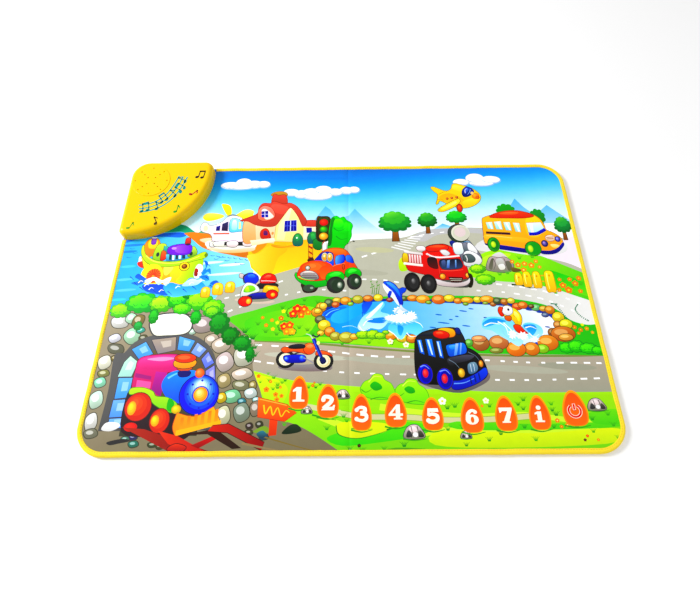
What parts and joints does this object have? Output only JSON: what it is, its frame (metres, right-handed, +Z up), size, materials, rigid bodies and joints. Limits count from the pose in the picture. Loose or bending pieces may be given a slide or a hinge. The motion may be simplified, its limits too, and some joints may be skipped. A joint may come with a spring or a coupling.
{
  "type": "musical touch play mat",
  "caption": "Padded folding play mat with a printed town scene, touch pads, number keys, yellow edge binding and a plastic sound box on one corner.",
  "frame": {"origin": "on the floor, under the middle of the mat, which lies open and flat", "axes": "+X along the mat's length, away from the sound box; +Y towards the back edge; +Z up"},
  "size_m": [0.72, 0.477, 0.0257],
  "materials": {
    "backing": "matt non-woven backing cloth",
    "foam_sheet": "thin closed-cell foam",
    "cell_case": "wrapped metal can",
    "yellow_plastic": "smooth moulded plastic",
    "steel": "zinc-plated steel",
    "lead_sleeve": "soft insulated wire",
    "black_plastic": "matt moulded plastic",
    "board_laminate": "green resin board with solder mask",
    "yellow_tape": "puffy woven binding tape",
    "contact_film": "clear polyester film with printed silver tracks",
    "printed_cloth": "smooth printed polyester cloth, slight sheen",
    "cone_card": "coated card cone",
    "white_plastic": "matt moulded plastic",
    "white_wadding": "soft fibre wadding"
  },
  "bodies": {
    "mat_left": {"backing_cloth_left": "backing", "base_foam_left": "foam_sheet", "battery_cells": "cell_case", "battery_leads": "lead_sleeve", "battery_plates": "steel", "battery_springs": "steel", "board_parts": "black_plastic", "board_screws": "steel", "box_bottom_shell": "yellow_plastic", "box_top_shell": "yellow_plastic", "case_screws": "steel", "circuit_board": "board_laminate", "edge_binding_left": "yellow_tape", "film_tail": "contact_film", "lower_film_left": "contact_film", "power_switch_body": "black_plastic", "printed_cover_left": "printed_cloth", "sound_chip": "black_plastic", "spacer_sheet_left": "foam_sheet", "speaker_cone": "cone_card", "speaker_dust_cap": "cone_card", "speaker_frame": "steel", "speaker_leads": "lead_sleeve", "speaker_magnet": "steel", "speaker_retainer": "white_plastic", "speaker_screws": "steel", "tail_clamp_bar": "white_plastic", "upper_film_left": "contact_film", "wadding_left": "white_wadding"},
    "mat_right": {"backing_cloth_right": "backing", "base_foam_right": "foam_sheet", "edge_binding_right": "yellow_tape", "lower_film_right": "contact_film", "printed_cover_right": "printed_cloth", "spacer_sheet_right": "foam_sheet", "upper_film_right": "contact_film", "wadding_right": "white_wadding"},
    "battery_door": {"battery_door": "yellow_plastic", "battery_door_screw": "steel"},
    "power_knob": {"power_switch_knob": "black_plastic"},
    "key_1": {"key_1": "printed_cloth"},
    "key_2": {"key_2": "printed_cloth"},
    "pad_train": {"pad_train": "printed_cloth"},
    "pad_boat": {"pad_boat": "printed_cloth"},
    "pad_helicopter": {"pad_helicopter": "printed_cloth"},
    "pad_scooter": {"pad_scooter": "printed_cloth"},
    "pad_car": {"pad_car": "printed_cloth"},
    "pad_motorbike": {"pad_motorbike": "printed_cloth"},
    "key_3": {"key_3": "printed_cloth"},
    "key_4": {"key_4": "printed_cloth"},
    "key_5": {"key_5": "printed_cloth"},
    "key_6": {"key_6": "printed_cloth"},
    "key_7": {"key_7": "printed_cloth"},
    "key_high_1": {"key_high_1": "printed_cloth"},
    "key_mode": {"key_mode": "printed_cloth"},
    "pad_fire_engine": {"pad_fire_engine": "printed_cloth"},
    "pad_plane": {"pad_plane": "printed_cloth"},
    "pad_bus": {"pad_bus": "printed_cloth"},
    "pad_taxi": {"pad_taxi": "printed_cloth"}
  },
  "joints": [
    {"name": "mat_fold", "type": "hinge", "parent": "mat_left", "child": "mat_right", "pos_m": [0, 0, 0.0062], "axis": [0, -1, 0], "range_deg": [0, 172]},
    {"name": "battery_door_swing", "type": "hinge", "parent": "mat_left", "child": "battery_door", "pos_m": [-0.35425, 0.14675, 0.00015], "axis": [0, 1, 0], "range_deg": [0, 75]},
    {"name": "power_switch_slide", "type": "slide", "parent": "mat_left", "child": "power_knob", "axis": [1, 0, 0], "range_m": [0, 0.004]},
    {"name": "key_1_press", "type": "slide", "parent": "mat_left", "child": "key_1", "axis": [0, 0, -1], "range_m": [0, 0.0008], "stiffness_N_per_m": 1500},
    {"name": "key_2_press", "type": "slide", "parent": "mat_left", "child": "key_2", "axis": [0, 0, -1], "range_m": [0, 0.0008], "stiffness_N_per_m": 1500},
    {"name": "pad_train_press", "type": "slide", "parent": "mat_left", "child": "pad_train", "axis": [0, 0, -1], "range_m": [0, 0.0008], "stiffness_N_per_m": 1500},
    {"name": "pad_boat_press", "type": "slide", "parent": "mat_left", "child": "pad_boat", "axis": [0, 0, -1], "range_m": [0, 0.0008], "stiffness_N_per_m": 1500},
    {"name": "pad_helicopter_press", "type": "slide", "parent": "mat_left", "child": "pad_helicopter", "axis": [0, 0, -1], "range_m": [0, 0.0008], "stiffness_N_per_m": 1500},
    {"name": "pad_scooter_press", "type": "slide", "parent": "mat_left", "child": "pad_scooter", "axis": [0, 0, -1], "range_m": [0, 0.0008], "stiffness_N_per_m": 1500},
    {"name": "pad_car_press", "type": "slide", "parent": "mat_left", "child": "pad_car", "axis": [0, 0, -1], "range_m": [0, 0.0008], "stiffness_N_per_m": 1500},
    {"name": "pad_motorbike_press", "type": "slide", "parent": "mat_left", "child": "pad_motorbike", "axis": [0, 0, -1], "range_m": [0, 0.0008], "stiffness_N_per_m": 1500},
    {"name": "key_3_press", "type": "slide", "parent": "mat_right", "child": "key_3", "axis": [0, 0, -1], "range_m": [0, 0.0008], "stiffness_N_per_m": 1500},
    {"name": "key_4_press", "type": "slide", "parent": "mat_right", "child": "key_4", "axis": [0, 0, -1], "range_m": [0, 0.0008], "stiffness_N_per_m": 1500},
    {"name": "key_5_press", "type": "slide", "parent": "mat_right", "child": "key_5", "axis": [0, 0, -1], "range_m": [0, 0.0008], "stiffness_N_per_m": 1500},
    {"name": "key_6_press", "type": "slide", "parent": "mat_right", "child": "key_6", "axis": [0, 0, -1], "range_m": [0, 0.0008], "stiffness_N_per_m": 1500},
    {"name": "key_7_press", "type": "slide", "parent": "mat_right", "child": "key_7", "axis": [0, 0, -1], "range_m": [0, 0.0008], "stiffness_N_per_m": 1500},
    {"name": "key_high_1_press", "type": "slide", "parent": "mat_right", "child": "key_high_1", "axis": [0, 0, -1], "range_m": [0, 0.0008], "stiffness_N_per_m": 1500},
    {"name": "key_mode_press", "type": "slide", "parent": "mat_right", "child": "key_mode", "axis": [0, 0, -1], "range_m": [0, 0.0008], "stiffness_N_per_m": 1500},
    {"name": "pad_fire_engine_press", "type": "slide", "parent": "mat_right", "child": "pad_fire_engine", "axis": [0, 0, -1], "range_m": [0, 0.0008], "stiffness_N_per_m": 1500},
    {"name": "pad_plane_press", "type": "slide", "parent": "mat_right", "child": "pad_plane", "axis": [0, 0, -1], "range_m": [0, 0.0008], "stiffness_N_per_m": 1500},
    {"name": "pad_bus_press", "type": "slide", "parent": "mat_right", "child": "pad_bus", "axis": [0, 0, -1], "range_m": [0, 0.0008], "stiffness_N_per_m": 1500},
    {"name": "pad_taxi_press", "type": "slide", "parent": "mat_right", "child": "pad_taxi", "axis": [0, 0, -1], "range_m": [0, 0.0008], "stiffness_N_per_m": 1500}
  ]
}
